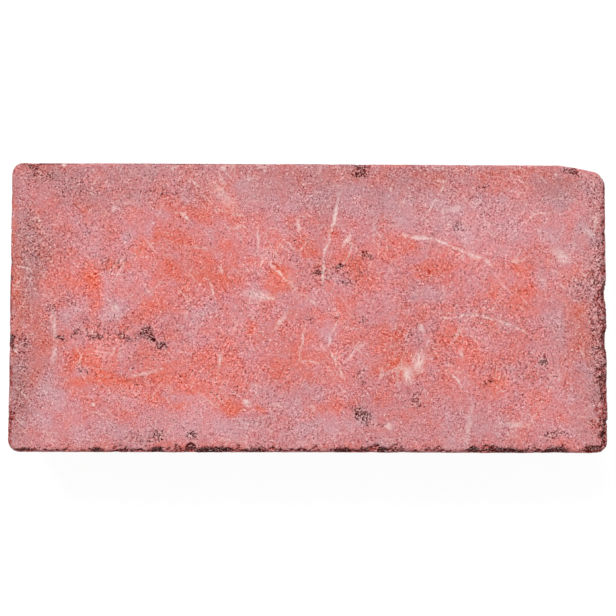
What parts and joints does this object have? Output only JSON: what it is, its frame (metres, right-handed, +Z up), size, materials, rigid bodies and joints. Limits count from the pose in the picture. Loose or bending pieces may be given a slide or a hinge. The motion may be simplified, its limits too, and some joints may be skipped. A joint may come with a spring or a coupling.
{
  "type": "clay brick",
  "caption": "Solid rectangular fired clay brick with flat beds, rounded corners and worn arrises, for laying in mortar or stacking.",
  "frame": {"origin": "middle of the box's underside, on the lower bed that the brick lies on", "axes": "+X along the length, +Y across the width from the front stretcher face to the back one, +Z up out of the upper bed"},
  "size_m": [0.2498, 0.121, 0.065],
  "materials": {
    "fired_clay": "matt, unglazed, porous"
  },
  "bodies": {
    "root": {"brick": "fired_clay"}
  },
  "joints": []
}
